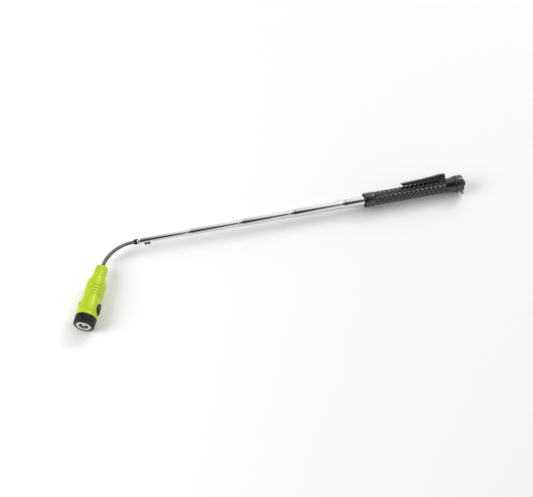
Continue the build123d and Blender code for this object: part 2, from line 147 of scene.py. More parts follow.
# Camera: looks down on the tool at 57 degrees from a little left of square to its rod.
view_turn = math.radians(-12.44)
view_height = math.radians(56.69)
view_distance = 1.091
view_target = Vector((-0.2311, -0.038, 0.0))
view_back = Vector((math.sin(view_turn) * math.cos(view_height),
                    -math.cos(view_turn) * math.cos(view_height),
                    math.sin(view_height)))
bpy.ops.object.camera_add(location=view_target + view_back * view_distance,
                          rotation=(math.pi / 2 - view_height, 0, view_turn))
camera = bpy.context.object
camera.data.lens = 70
camera.data.sensor_width = 36
camera.data.clip_end = 20
bpy.context.scene.camera = camera
bpy.context.scene.view_settings.view_transform = "Standard"

# ---------------------------------------------------------------------------------------------
# Grip: black anodised aluminium turned to 16 mm, smooth at its front collar and its flared rear.
# The length between carries a coarse diamond knurl, 10 diamonds round and 5 mm long.
mm = 0.001


def turned(name, rings, sides, edge=0.0, solid=False):
    """A piece turned about X from (station, radius) rings in mm: a loop is closed ring to ring, and a
    solid piece has its two ends filled. edge is the width in mm that sharp turned edges are broken by."""
    start, radius = rings[0]
    bpy.ops.object.select_all(action="DESELECT")
    bpy.ops.mesh.primitive_circle_add(vertices=sides, radius=radius * mm, location=(start * mm, 0, 0),
                                      rotation=(0, math.pi / 2, 0))
    piece = bpy.context.object
    piece.name = name
    bpy.ops.object.transform_apply(location=True, rotation=True, scale=True)
    bpy.ops.object.mode_set(mode="EDIT")
    bpy.ops.mesh.select_all(action="SELECT")
    for (here, inner), (there, outer) in zip(rings, rings[1:]):
        bpy.ops.mesh.extrude_region_move(TRANSFORM_OT_translate={"value": ((there - here) * mm, 0, 0)})
        bpy.ops.transform.resize(value=(1, outer / inner, outer / inner), center_override=(there * mm, 0, 0))
    bpy.ops.mesh.select_all(action="DESELECT")
    bpy.ops.mesh.select_mode(type="EDGE")
    bpy.ops.mesh.select_non_manifold()
    if solid:
        bpy.ops.mesh.fill_holes(sides=0)
    else:
        bpy.ops.mesh.bridge_edge_loops()
    bpy.ops.mesh.select_all(action="SELECT")
    bpy.ops.mesh.normals_make_consistent(inside=False)
    bpy.ops.object.mode_set(mode="OBJECT")
    if edge:
        break_edges(piece, edge)
    return piece


def only(piece):
    """Makes a piece the only selected and the active one."""
    bpy.ops.object.select_all(action="DESELECT")
    piece.select_set(True)
    bpy.context.view_layer.objects.active = piece


def break_edges(piece, width, segments=3, angle=18):
    """Rounds the sharp edges of a piece with a bevel, then shades it smooth but for what is still sharp."""
    only(piece)
    rounding = piece.modifiers.new("rounding", "BEVEL")
    rounding.width = width * mm
    rounding.segments = segments
    rounding.limit_method = "ANGLE"
    rounding.angle_limit = math.radians(angle)
    bpy.ops.object.modifier_apply(modifier=rounding.name)
    bpy.ops.object.shade_smooth_by_angle(angle=math.radians(30))


def finish_of(name, dark, light, metallic, rough, grain, relief, stretch=(1, 1, 1), turn=0.0):
    """A procedural finish: colour and roughness wander between two limits with a noise of grain per metre,
    and a finer noise gives a relief of so many mm. stretch and turn lay the grain along a piece."""
    finish = bpy.data.materials.new(name)
    finish.use_nodes = True
    nodes = finish.node_tree.nodes
    links = finish.node_tree.links
    shader = nodes["Principled BSDF"]
    place = nodes.new("ShaderNodeTexCoord")
    lay = nodes.new("ShaderNodeMapping")
    lay.inputs["Scale"].default_value = stretch
    lay.inputs["Rotation"].default_value = (0, 0, turn)
    wander = nodes.new("ShaderNodeTexNoise")
    wander.inputs["Scale"].default_value = grain
    wander.inputs["Detail"].default_value = 5
    tint = nodes.new("ShaderNodeMix")
    tint.data_type = "RGBA"
    tint.inputs["A"].default_value = (*dark, 1)
    tint.inputs["B"].default_value = (*light, 1)
    gloss = nodes.new("ShaderNodeMapRange")
    gloss.inputs["From Min"].default_value = 0.3
    gloss.inputs["From Max"].default_value = 0.7
    gloss.inputs["To Min"].default_value = rough[0]
    gloss.inputs["To Max"].default_value = rough[1]
    fine = nodes.new("ShaderNodeTexNoise")
    fine.inputs["Scale"].default_value = grain * 6
    fine.inputs["Detail"].default_value = 3
    bump = nodes.new("ShaderNodeBump")
    bump.inputs["Distance"].default_value = relief * mm
    bump.inputs["Strength"].default_value = 1.0
    links.new(place.outputs["Object"], lay.inputs["Vector"])
    links.new(lay.outputs["Vector"], wander.inputs["Vector"])
    links.new(lay.outputs["Vector"], fine.inputs["Vector"])
    links.new(wander.outputs["Fac"], tint.inputs["Factor"])
    links.new(wander.outputs["Fac"], gloss.inputs["Value"])
    links.new(tint.outputs["Result"], shader.inputs["Base Color"])
    links.new(gloss.outputs["Result"], shader.inputs["Roughness"])
    links.new(fine.outputs["Fac"], bump.inputs["Height"])
    links.new(bump.outputs["Normal"], shader.inputs["Normal"])
    shader.inputs["Metallic"].default_value = metallic
    return finish


def set_input(finish, socket, value):
    """Sets one input of a finish's shader to the same value all over."""
    finish.node_tree.nodes["Principled BSDF"].inputs[socket].default_value = value


def dress(piece, finish, slot, body, *nodes):
    """Gives a finished piece its material, the body it rides on and the nodes it replaces; slot is not used.
    """
    piece.data.materials.clear()
    piece.data.materials.append(finish)
    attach(piece, body)
    if nodes:
        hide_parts(*nodes)


mouth = 1000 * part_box("grip_sleeve")[0].x
grip_rear = 1000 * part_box("grip_sleeve")[1].x
bore = 6.2
collar_radius = 8.0
waist_radius = 7.95
rear_radius = 9.0
point_radius = 7.85
point_flat = 0.42
valley_radius = 6.85
core_radius = 6.6
knurl_front = -103.5
knurl_rear = -22.5
diamonds_round = 10
diamonds_long = 16

anodised_black = finish_of("anodised_black", (0.006, 0.006, 0.006), (0.012, 0.0115, 0.0115), 0.0,
                           (0.16, 0.23), 420, 0.003)
set_input(anodised_black, "Specular IOR Level", 0.8)

grip = turned("grip_body",
              [(mouth, bore + 0.95), (mouth, collar_radius), (knurl_front, collar_radius),
               (knurl_front, core_radius), (knurl_rear, core_radius), (knurl_rear, waist_radius),
               (-16.8, waist_radius), (grip_rear - 0.8, rear_radius), (grip_rear, rear_radius),
               (grip_rear, bore), (mouth + 4.0, bore), (mouth + 4.0, bore + 0.75)], 96, edge=0.35)
dress(grip, anodised_black, "grip_black", "handle", "grip_sleeve")

# Knurl: a band of 20 half diamonds round by 32 long. Every second corner stands up as a point, the
# faces between are cut into four, and each point is flattened a little, as a worn knurl is.
half_diamond = (knurl_rear - knurl_front) / (2 * diamonds_long)
bpy.ops.object.select_all(action="DESELECT")
bpy.ops.mesh.primitive_circle_add(vertices=2 * diamonds_round, radius=valley_radius * mm,
                                  location=(knurl_front * mm, 0, 0), rotation=(0, math.pi / 2, 0))
knurl = bpy.context.object
knurl.name = "grip_knurl"
bpy.ops.object.transform_apply(location=True, rotation=True, scale=True)
bpy.ops.object.mode_set(mode="EDIT")
bpy.ops.mesh.select_all(action="SELECT")
for row in range(2 * diamonds_long):
    bpy.ops.mesh.extrude_region_move(TRANSFORM_OT_translate={"value": (half_diamond * mm, 0, 0)})
bpy.ops.object.mode_set(mode="OBJECT")
corner_count = len(knurl.data.vertices)


def select_corners(piece, wanted):
    """Selects, by a test on each vertex, the corners of a piece, and enters edit mode on them."""
    for part in (piece.data.polygons, piece.data.edges):
        part.foreach_set("select", [False] * len(part))
    for corner in piece.data.vertices:
        corner.select = wanted(corner)
    bpy.ops.object.mode_set(mode="EDIT")
    bpy.ops.mesh.select_mode(type="VERT")


def is_point(corner):
    """True for the corners that stand up as points: every second one, but none at the band's ends. Once the
    faces are cut, some of their middles pass as well, because they lie half way between two corners."""
    row = round((corner.co.x / mm - knurl_front) / half_diamond)
    column = round(math.atan2(corner.co.z, corner.co.y) * diamonds_round / math.pi)
    return 0 < row < 2 * diamonds_long and (row + column) % 2 == 0


def rests_in_valley(corner):
    """True for the middles that poking the faces has added."""
    return corner.index >= corner_count


def widen(factor):
    """Scales the selected corners away from the rod's axis."""
    bpy.ops.transform.resize(value=(1, factor, factor), center_override=(0, 0, 0))


select_corners(knurl, is_point)
widen(point_radius / valley_radius)
bpy.ops.mesh.select_all(action="SELECT")
bpy.ops.mesh.poke()
bpy.ops.object.mode_set(mode="OBJECT")
middle_radius = math.hypot(*list(knurl.data.vertices[-1].co)[1:]) / mm
select_corners(knurl, rests_in_valley)
widen(valley_radius * math.cos(math.pi / (4 * diamonds_round)) / middle_radius)
bpy.ops.object.mode_set(mode="OBJECT")
select_corners(knurl, is_point)
bpy.ops.mesh.bevel(offset=point_flat * mm, segments=1, affect="VERTICES")
bpy.ops.mesh.select_all(action="DESELECT")
bpy.ops.mesh.select_non_manifold()
bpy.ops.mesh.extrude_region_move()
widen((core_radius - 0.3) / valley_radius)
bpy.ops.mesh.bridge_edge_loops()
bpy.ops.mesh.select_all(action="SELECT")
bpy.ops.mesh.normals_make_consistent(inside=False)
bpy.ops.object.mode_set(mode="OBJECT")
dress(knurl, anodised_black, "grip_black", "handle")

# ---------------------------------------------------------------------------------------------
# End cap: black anodised aluminium, 18.8 mm across, pressed into the grip with a dark seam between
# them and a chamfer at its rear. A low plastic boss closes it and a small steel eye hangs below.
boss_height = 2.8
cap_radius = 9.4
cap_front = -boss_height - 8.9
cap = turned("rear_cap",
             [(-boss_height, 3.0), (-boss_height, cap_radius - 2.0), (-boss_height - 0.5, cap_radius - 0.5),
              (-boss_height - 1.2, cap_radius), (cap_front + 0.5, cap_radius), (cap_front, cap_radius - 0.5),
              (cap_front, cap_radius - 1.3), (grip_rear + 0.02, cap_radius - 1.3), (grip_rear + 0.02, 3.0)],
             96, edge=0.3)
dress(cap, anodised_black, "grip_black", "handle", "end_cap")

moulded_black = finish_of("moulded_black", (0.008, 0.008, 0.008), (0.016, 0.016, 0.016), 0.0,
                          (0.34, 0.46), 650, 0.012)
boss = turned("rear_boss", [(-boss_height - 0.6, 3.7), (-0.4, 3.5), (-0.02, 3.1)], 64, edge=0.25, solid=True)
dress(boss, moulded_black, "black_plastic", "handle", "butt_boss")

# ---------------------------------------------------------------------------------------------
# Lanyard eye: a small blackened steel ring with a drilled hole, its shank pressed into the cap's lower
# rear edge, opposite the pocket clip.
clip_way = Vector(mounts["pocket_clip_lip"]["axis"])
eye_way = Vector(mounts["lanyard_hole"]["axis"])
eye_place = Vector(mounts["lanyard_hole"]["pos_m"])


def set_in_place(piece, turn, place):
    """Turns and moves a piece that was made about the origin, and leaves its place in its mesh."""
    only(piece)
    piece.rotation_euler = turn.to_euler()
    piece.location = place
    bpy.ops.object.transform_apply(location=True, rotation=True, scale=True)


def along(way):
    """The turn that brings X to a direction."""
    return Vector((1, 0, 0)).rotation_difference(way)


def joined(piece, *others):
    """Joins further meshes into a piece."""
    only(piece)
    for other in others:
        other.select_set(True)
    bpy.ops.object.join()
    return piece


blackened_steel = finish_of("blackened_steel", (0.035, 0.030, 0.026), (0.075, 0.062, 0.052), 0.8,
                            (0.30, 0.44), 900, 0.006)
eye = turned("lanyard_ring", [(-0.6, 0.8), (-0.6, 1.6), (0.6, 1.6), (0.6, 0.8)], 48, edge=0.3)
set_in_place(eye, along(eye_way), eye_place)
eye_shank = turned("eye_shank", [(1.0, 0.55), (4.0, 0.55)], 24, solid=True)
set_in_place(eye_shank, along(clip_way), eye_place)
joined(eye, eye_shank)
dress(eye, blackened_steel, "dark_steel", "handle", "lanyard_eye")

# ---------------------------------------------------------------------------------------------
# Pocket clip: a black nylon arm with a channel underneath, so that its walls straddle the grip. A solid
# block carries it at the rear, and its front end is cut to a ramp that slips over a pocket's edge.
clip_half = 4.0
clip_tip = -71.4
clip_wall = 0.9
channel_depth = 1.5
arm_front = -66.1
arm_rear = -31.6
block_front = -30.5
clip_sections = [(-22.0, 6.2, 13.85), (-26.0, 6.2, 13.88), (-30.4, 6.2, 13.5), (-30.6, 7.6, 13.48),
                 (-31.6, 7.65, 13.4), (-36.0, 7.72, 13.0), (-48.0, 7.95, 12.2), (-62.0, 8.3, 11.6),
                 (-66.0, 8.4, 11.5), (-68.7, 8.27, 11.42), (clip_tip + 1.8, 8.32, 11.38),
                 (clip_tip + 0.25, 10.85, 11.32)]
clip_channel = {-31.6: 12.2, -36.0: 11.95, -48.0: 11.1, -62.0: 10.5, -66.0: 10.3}
start, low, high = clip_sections[0]
bpy.ops.object.select_all(action="DESELECT")
bpy.ops.mesh.primitive_plane_add(size=mm, location=(start * mm, 0, (low + high) / 2 * mm),
                                 rotation=(0, math.pi / 2, 0))
clip = bpy.context.object
clip.name = "clip_arm"
clip.scale = (high - low, 2 * clip_half, 1)
bpy.ops.object.transform_apply(location=True, rotation=True, scale=True)
bpy.ops.object.mode_set(mode="EDIT")
bpy.ops.mesh.select_all(action="SELECT")
for (x0, low0, high0), (x1, low1, high1) in zip(clip_sections, clip_sections[1:]):
    rise = (low1 + high1 - low0 - high0) / 2
    bpy.ops.mesh.extrude_region_move(TRANSFORM_OT_translate={"value": ((x1 - x0) * mm, 0, rise * mm)})
    bpy.ops.transform.resize(value=(1, 1, (high1 - low1) / (high0 - low0)),
                             center_override=(x1 * mm, 0, (low1 + high1) / 2 * mm))
bpy.ops.mesh.select_all(action="SELECT")
bpy.ops.mesh.normals_make_consistent(inside=False)
bpy.ops.object.mode_set(mode="OBJECT")


def select_faces(piece, wanted):
    """Selects, by a test on each face, the faces of a piece, and enters edit mode on them."""
    only(piece)
    for part in (piece.data.vertices, piece.data.edges):
        part.foreach_set("select", [False] * len(part))
    for face in piece.data.polygons:
        face.select = wanted(face)
    bpy.ops.object.mode_set(mode="EDIT")
    bpy.ops.mesh.select_mode(type="FACE")


def on_arm_side(face):
    """True for the two flanks of the clip's arm."""
    return abs(face.normal.y) > 0.9 and arm_front * mm < face.center.x < arm_rear * mm


def on_block_side(face):
    """True for the two flanks of the clip's block."""
    return abs(face.normal.y) > 0.9 and face.center.x > block_front * mm


def under_arm(face):
    """True for the arm's underside, where the channel runs."""
    return face.normal.z < -0.7 and arm_front * mm < face.center.x < arm_rear * mm


select_faces(clip, on_arm_side)
bpy.ops.mesh.inset(thickness=0.8 * mm, use_even_offset=True)
bpy.ops.mesh.extrude_region_shrink_fatten(TRANSFORM_OT_shrink_fatten={"value": 0.22 * mm})
bpy.ops.object.mode_set(mode="OBJECT")
select_faces(clip, on_block_side)
bpy.ops.mesh.inset(thickness=2.0 * mm, use_even_offset=True)
bpy.ops.mesh.extrude_region_shrink_fatten(TRANSFORM_OT_shrink_fatten={"value": 0.6 * mm})
bpy.ops.object.mode_set(mode="OBJECT")
select_faces(clip, under_arm)
bpy.ops.mesh.inset(thickness=clip_wall * mm, use_even_offset=True)
bpy.ops.mesh.extrude_region_move(TRANSFORM_OT_translate={"value": (0, 0, channel_depth * mm)})
bpy.ops.object.mode_set(mode="OBJECT")
for station, ceiling in clip_channel.items():
    nearest = min((corner.co.x for corner in clip.data.vertices if corner.select),
                  key=lambda x: abs(x / mm - station))
    row = [corner for corner in clip.data.vertices if corner.select and abs(corner.co.x - nearest) < 1e-5]
    floor_height = row[0].co.z
    row_corners = {corner.index for corner in row}
    channel_floor = {corner.index for corner in clip.data.vertices if corner.select}
    select_corners(clip, lambda corner: corner.index in row_corners)
    bpy.ops.transform.translate(value=(0, 0, ceiling * mm - floor_height))
    bpy.ops.object.mode_set(mode="OBJECT")
    for corner in clip.data.vertices:
        corner.select = corner.index in channel_floor
break_edges(clip, 0.28, segments=3, angle=25)
clip_turn = Vector((0, 0, 1)).rotation_difference(clip_way)
set_in_place(clip, clip_turn, (0, 0, 0))
clip_black = finish_of("clip_black", (0.010, 0.010, 0.010), (0.020, 0.019, 0.019), 0.0,
                       (0.24, 0.34), 700, 0.010)
dress(clip, clip_black, "black_plastic", "handle", "pocket_clip")

# Rivets: two blackened steel rivets down through the clip's block into the grip, their heads flush.
rivets = turned("rivet_pair", [(12.4, 1.0), (13.86, 1.0)], 32, edge=0.15, solid=True)
second_rivet = rivets.copy()
second_rivet.data = rivets.data.copy()
bpy.context.collection.objects.link(second_rivet)
set_in_place(rivets, along(clip_way), (-24.2 * mm, 0, 0))
set_in_place(second_rivet, along(clip_way), (-28.2 * mm, 0, 0))
joined(rivets, second_rivet)
dress(rivets, blackened_steel, "dark_steel", "handle", "clip_rivets")

# ---------------------------------------------------------------------------------------------
# Bushes: phosphor bronze rings turned to size. One shows inside the grip's mouth, the rest ride on the
# tubes' hidden ends and slide in the tube around them.
turned_bronze = finish_of("turned_bronze", (0.30, 0.17, 0.07), (0.46, 0.28, 0.12), 1.0,
                          (0.22, 0.36), 240, 0.004, stretch=(8, 1, 1))
bush_bore = 5.25
front_bush = turned("mouth_bush", [(mouth + 5, bush_bore), (mouth + 5, bore), (mouth + 15, bore),
                                   (mouth + 15, bush_bore)], 96, edge=0.12)
dress(front_bush, turned_bronze, "bush_bronze", "handle", "front_bush")


def finish_node(node, finish):
    """Gives a designed part that stays in the scene its material."""
    part = bpy.data.objects[node]
    part.data.materials.clear()
    part.data.materials.append(finish)


for hidden_bush in ("rear_bush", "friction_bush_2", "friction_bush_3", "friction_bush_4", "friction_bush_5"):
    finish_node(hidden_bush, turned_bronze)

# ---------------------------------------------------------------------------------------------
# Telescopic tubes: five thin-walled steel tubes, bright chrome plated. Each is rolled down at its mouth
# on to the next, which leaves a short narrower collar with a soft shoulder and a rounded lip.
tube_radii = [5.2, 4.55, 3.95, 3.4, 2.9]
tube_steps = [20.4, 76.2, 132.0, 188.0]
tube_wall = 0.35
tube_gap = 0.05
rolled_length = 7.5
chrome = finish_of("chrome_plate", (0.60, 0.585, 0.565), (0.70, 0.69, 0.67), 1.0, (0.07, 0.13), 120, 0.0012,
                   stretch=(0.04, 1, 1))
carriers = ["handle", "section_2", "section_3", "section_4", "section_5"]
tip_x = 1000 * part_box("tube_5")[0].x
for number, (tube_radius, carrier) in enumerate(zip(tube_radii, carriers), start=1):
    node = f"tube_{number}"
    tube_end = 1000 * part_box(node)[1].x
    if number < 5:
        step = mouth - tube_steps[number - 1]
        lip = step - rolled_length
        inside = tube_radii[number] + tube_gap
        outside = inside + tube_wall
        rings = [(tube_end, tube_radius - tube_wall), (tube_end, tube_radius), (step + 0.25, tube_radius),
                 (step - 0.15, tube_radius - 0.05), (step - 0.75, outside + 0.06), (step - 1.1, outside),
                 (lip + 0.9, outside), (lip + 0.55, outside + 0.09), (lip + 0.2, outside + 0.05),
                 (lip, outside - 0.1), (lip, inside), (step - 1.0, inside), (step, tube_radius - tube_wall)]
    else:
        rings = [(tube_end, tube_radius - tube_wall), (tube_end, tube_radius), (tip_x, tube_radius),
                 (tip_x, tube_radius - tube_wall)]
    tube = turned(f"telescopic_tube_{number}", rings, 96, edge=0.06)
    dress(tube, chrome, "tube_chrome", carrier, node)

# Crimp ring: a bright rolled bead that closes the thinnest tube's end over the ferrule.
crimp = turned("crimp_bead", [(tip_x, 2.92), (tip_x, 3.05), (tip_x + 0.4, 3.25), (tip_x + 2.2, 3.25),
                              (tip_x + 2.6, 3.05), (tip_x + 2.6, 2.92)], 96, edge=0.12)
dress(crimp, chrome, "tube_chrome", "section_5", "crimp_ring")

# Stop nub: two soft black rubber beads bonded side by side under the thinnest tube.
soft_rubber = finish_of("soft_rubber", (0.006, 0.006, 0.006), (0.014, 0.013, 0.013), 0.0,
                        (0.6, 0.75), 1500, 0.02)
bead_drop = 3.25
beads = []
for bead_station in (tip_x + 8.6, tip_x + 11.8):
    bpy.ops.object.select_all(action="DESELECT")
    bead_place = Vector((bead_station * mm, 0, 0)) - clip_way * bead_drop * mm
    bpy.ops.mesh.primitive_uv_sphere_add(segments=32, ring_count=18, radius=1.72 * mm, location=bead_place)
    bead = bpy.context.object
    bead.scale = (1.0, 1.0, 0.98)
    bpy.ops.object.transform_apply(location=True, rotation=True, scale=True)
    bpy.ops.object.shade_smooth()
    beads.append(bead)
nub = joined(*beads)
nub.name = "stop_beads"
dress(nub, soft_rubber, "rubber_black", "section_5", "stop_nub")

# ---------------------------------------------------------------------------------------------
# Ferrule: a blackened steel plug in the end of the thinnest tube, its nose rounded down to the neck.
nose_x = tip_x - 4.0
ferrule = turned("tip_ferrule", [(tip_x + 1.0, 2.4), (tip_x - 0.02, 2.9), (tip_x - 0.1, 2.98),
                                 (tip_x - 1.6, 2.98), (tip_x - 2.6, 2.86), (tip_x - 3.4, 2.64),
                                 (nose_x + 0.1, 2.35), (nose_x, 2.1), (nose_x, 1.3)],
                 72, edge=0.06, solid=True)
dress(ferrule, blackened_steel, "dark_steel", "section_5", "neck_ferrule")

# ---------------------------------------------------------------------------------------------
# Flexible neck: a close-wound coil of 1 mm plated wire, 4.2 mm across, over a dark cable. It is made as
# one length per hinge, each from half way between two hinges to the next, and every length bends.
neck_steel = finish_of("neck_steel", (0.19, 0.18, 0.165), (0.28, 0.27, 0.25), 1.0, (0.14, 0.24), 900, 0.002)
cable_dark = finish_of("cable_dark", (0.02, 0.019, 0.018), (0.05, 0.047, 0.044), 0.6, (0.35, 0.5), 700, 0.01)
link_pitch = 5.85
turns_per_link = 5
wire_radius = 0.5
coil_radius = 2.08 - wire_radius
bend_per_hinge = math.radians(8.4)
arc_radius = link_pitch / 2 / math.tan(bend_per_hinge / 2)


def neck_way(bend):
    """The way the neck runs once it has bent so many radians from the rod."""
    return Vector((-math.cos(bend), -math.sin(bend), 0))


def follow_bend(piece, hinge, before):
    """Lays a straight length of neck, made along X from 0, on the arc about one hinge: before is how far,
    in radians, the neck has already bent where the arc starts."""
    set_out = neck_way(before)
    inward = Vector((math.sin(before), -math.cos(before), 0))
    first = Vector(hinge) - set_out * link_pitch / 2 * mm
    centre = first + inward * arc_radius * mm
    for corner in piece.data.vertices:
        turned_by = corner.co.x / (link_pitch * mm) * bend_per_hinge
        out_of_bend = -inward * math.cos(turned_by) + set_out * math.sin(turned_by)
        height = Vector((0, 0, 1)) * corner.co.z
        corner.co = centre + out_of_bend * (arc_radius * mm + corner.co.y) + height
    only(piece)
    bpy.ops.object.mode_set(mode="EDIT")
    bpy.ops.mesh.select_all(action="SELECT")
    bpy.ops.mesh.normals_make_consistent(inside=False)
    bpy.ops.object.mode_set(mode="OBJECT")
    bpy.ops.object.shade_smooth_by_angle(angle=math.radians(40))


bpy.ops.object.select_all(action="DESELECT")
bpy.ops.mesh.primitive_circle_add(vertices=10, radius=wire_radius * mm, location=(0, coil_radius * mm, 0))
coil = bpy.context.object
bpy.ops.object.transform_apply(location=True, rotation=True, scale=True)
winding = coil.modifiers.new("winding", "SCREW")
winding.axis = "X"
winding.angle = 2 * math.pi
winding.screw_offset = link_pitch / turns_per_link * mm
winding.iterations = turns_per_link
winding.steps = 20
winding.render_steps = 20
bpy.ops.object.modifier_apply(modifier=winding.name)
bpy.ops.object.mode_set(mode="EDIT")
bpy.ops.mesh.select_all(action="SELECT")
bpy.ops.mesh.remove_doubles(threshold=1e-7)
bpy.ops.mesh.select_all(action="DESELECT")
bpy.ops.mesh.select_mode(type="EDGE")
bpy.ops.mesh.select_non_manifold()
bpy.ops.mesh.fill_holes(sides=0)
bpy.ops.object.mode_set(mode="OBJECT")
cable = turned("neck_cable", [(link_pitch * share / 8, 1.3) for share in range(9)], 24, solid=True)

neck_nodes = ([["neck_root"]] + [[f"neck_link_{number}"] for number in range(1, 7)]
              + [["neck_link_7", "neck_anchor"]])
for number in range(1, 9):
    hinge = Vector(joints[f"neck_bend_{number}"]["pos_m"])
    before = (number - 1) * bend_per_hinge
    for pattern, finish, title in ((coil, neck_steel, "neck_coil"), (cable, cable_dark, "neck_cable")):
        length = pattern.copy()
        length.data = pattern.data.copy()
        length.name = f"{title}_{number}"
        bpy.context.collection.objects.link(length)
        follow_bend(length, hinge, before)
        length.data.materials.clear()
        length.data.materials.append(finish)
        if pattern is coil:
            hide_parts(*neck_nodes[number - 1])
        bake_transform(length)
bpy.data.objects.remove(coil)
bpy.data.objects.remove(cable)

# ---------------------------------------------------------------------------------------------
# Tail nut: lime anodised aluminium collar screwed into the head's tail, with eight finger flutes. The
# neck comes out through its hole. The head's pieces are made along X from their front face at 0.
head_front = Vector(joints["bezel_turn"]["pos_m"])
head_turn = along(-Vector(joints["bezel_turn"]["axis"]))
head_length = 71.0
shell_rear = 58.4
tail_radius = 6.65


def scallop(piece, count, sides, reach, cutter, rows):
    """Presses round flutes into a piece turned from so many sides: each is cut by a circle of the cutter's
    radius, reach mm from the axis. rows gives the stations and how fully each row is pressed."""
    step = 2 * math.pi / sides
    spacing = sides / count
    for station, radius, share in rows:
        for offset in range(sides // count // 2 + 1):
            across = reach * math.sin(offset * step)
            if abs(across) >= cutter:
                continue
            pressed = reach * math.cos(offset * step) - math.sqrt(cutter ** 2 - across ** 2)
            if pressed >= radius:
                continue

            def in_flute(corner):
                """True for this row's corners at this offset from a flute's middle."""
                turned_by = math.atan2(corner.co.z, corner.co.y) / step
                from_middle = abs(turned_by % spacing - spacing / 2)
                return (abs(corner.co.x / mm - station) < 0.01 and abs(from_middle - offset) < 0.1
                        and abs(math.hypot(corner.co.y, corner.co.z) / mm - radius) < 0.05)

            select_corners(piece, in_flute)
            widen((radius + (pressed - radius) * share) / radius)
            bpy.ops.object.mode_set(mode="OBJECT")


lime = finish_of("lime_anodised", (0.415, 0.560, 0.003), (0.470, 0.620, 0.006), 0.15,
                 (0.34, 0.42), 500, 0.004)
nut_bore = 2.2
nut_sides = 192
nut = turned("fluted_nut",
             [(shell_rear + 0.03, nut_bore), (shell_rear + 0.03, tail_radius - 0.1),
              (shell_rear + 0.25, tail_radius), (59.8, tail_radius), (60.3, tail_radius),
              (61.2, tail_radius), (66.0, tail_radius), (head_length - 1.2, tail_radius),
              (head_length - 0.45, tail_radius - 0.45), (head_length, tail_radius - 1.25),
              (head_length, nut_bore)], nut_sides)
scallop(nut, 8, nut_sides, 8.9, 2.9,
        [(60.3, tail_radius, 0.55), (61.2, tail_radius, 1.0), (66.0, tail_radius, 1.0),
         (head_length - 1.2, tail_radius, 1.0), (head_length - 0.45, tail_radius - 0.45, 1.0)])
only(nut)
bpy.ops.object.shade_smooth_by_angle(angle=math.radians(28))
set_in_place(nut, head_turn, head_front)
dress(nut, lime, "lime_anodised", "head", "tail_nut")

# ---------------------------------------------------------------------------------------------
# Head shell: lime anodised aluminium, turned with a stepped tail, four ring grooves, a long tapering
# barrel and a flared front collar. The plain spigot in front carries the bezel. A low oval boss stands
# on its far side.
barrel_radius = 9.65
groove_radius = 9.17
cell_bore = 5.8
light_bore = 8.25
grooves = []
for groove in (33.35, 36.7, 40.05, 43.4):
    grooves += [(groove - 0.32, barrel_radius), (groove + 0.05, groove_radius),
                (groove + 1.45, groove_radius), (groove + 1.82, barrel_radius)]
shell = turned("head_body",
               [(6.05, light_bore), (6.05, 9.4), (6.25, 9.58), (10.13, 9.58), (10.13, 11.2), (10.4, 11.24),
                (10.8, 11.14), (13.4, 10.6), (13.8, 10.15), (14.5, 10.15), (14.9, 10.45), (23.0, 10.2),
                (29.0, 9.8), (32.0, barrel_radius)] + grooves
               + [(51.8, barrel_radius), (52.6, 9.2), (53.2, 8.1), (54.2, 8.0), (57.0, 7.8),
                  (shell_rear, 7.1), (shell_rear, cell_bore), (8.45, cell_bore), (8.45, light_bore)],
               144, edge=0.16)
boss_top = 10.75
switch_station = 21.2
bpy.ops.object.select_all(action="DESELECT")
bpy.ops.mesh.primitive_cylinder_add(vertices=72, radius=mm, depth=3.0 * mm,
                                    location=(switch_station * mm, 0, (boss_top - 1.5) * mm))
oval_boss = bpy.context.object
oval_boss.scale = (6.5, 5.2, 1)
bpy.ops.object.transform_apply(location=True, rotation=True, scale=True)


def is_boss_foot(corner):
    """True for the oval boss's lower rim."""
    return corner.co.z < (boss_top - 2.9) * mm


select_corners(oval_boss, is_boss_foot)
bpy.ops.transform.resize(value=(1.15, 1.15, 1), center_override=(switch_station * mm, 0, 0))
bpy.ops.object.mode_set(mode="OBJECT")
break_edges(oval_boss, 0.5, segments=4, angle=50)
over_side = Vector((0, 0, 1)).rotation_difference(Vector((0, 1, 0)))
set_in_place(oval_boss, over_side, (0, 0, 0))
joined(shell, oval_boss)
set_in_place(shell, head_turn, head_front)
dress(shell, lime, "lime_anodised", "head", "head_shell")

# ---------------------------------------------------------------------------------------------
# Switch: a black oval nylon moulding set in the shell's side, with a straight slot in which a ridged
# thumb slide runs. The slide stands proud and has three cross ridges.
frame_floor = 7.7
frame_top = 10.88
bpy.ops.object.select_all(action="DESELECT")
bpy.ops.mesh.primitive_cylinder_add(vertices=96, radius=mm, depth=(frame_top - frame_floor) * mm,
                                    location=(switch_station * mm, 0, (frame_top + frame_floor) / 2 * mm))
switch_frame = bpy.context.object
switch_frame.name = "switch_surround"
switch_frame.scale = (6.48, 5.18, 1)
bpy.ops.object.transform_apply(location=True, rotation=True, scale=True)


def box_at(name, station, height, size):
    """A box of a size in mm, with its middle at a station along X and a height above it."""
    bpy.ops.object.select_all(action="DESELECT")
    bpy.ops.mesh.primitive_cube_add(size=mm, location=(station * mm, 0, height * mm))
    box = bpy.context.object
    box.name = name
    box.scale = size
    bpy.ops.object.transform_apply(location=True, rotation=True, scale=True)
    return box


def is_upright(edge, piece):
    """True for an edge that runs along Z."""
    one, other = (piece.data.vertices[index].co for index in edge.vertices)
    return abs((one - other).normalized().z) > 0.9


def round_uprights(piece, radius):
    """Rounds the upright corners of a box."""
    only(piece)
    for part in (piece.data.polygons, piece.data.vertices):
        part.foreach_set("select", [False] * len(part))
    for edge in piece.data.edges:
        edge.select = is_upright(edge, piece)
    bpy.ops.object.mode_set(mode="EDIT")
    bpy.ops.mesh.select_mode(type="EDGE")
    bpy.ops.mesh.bevel(offset=radius * mm, segments=5, affect="EDGES")
    bpy.ops.object.mode_set(mode="OBJECT")


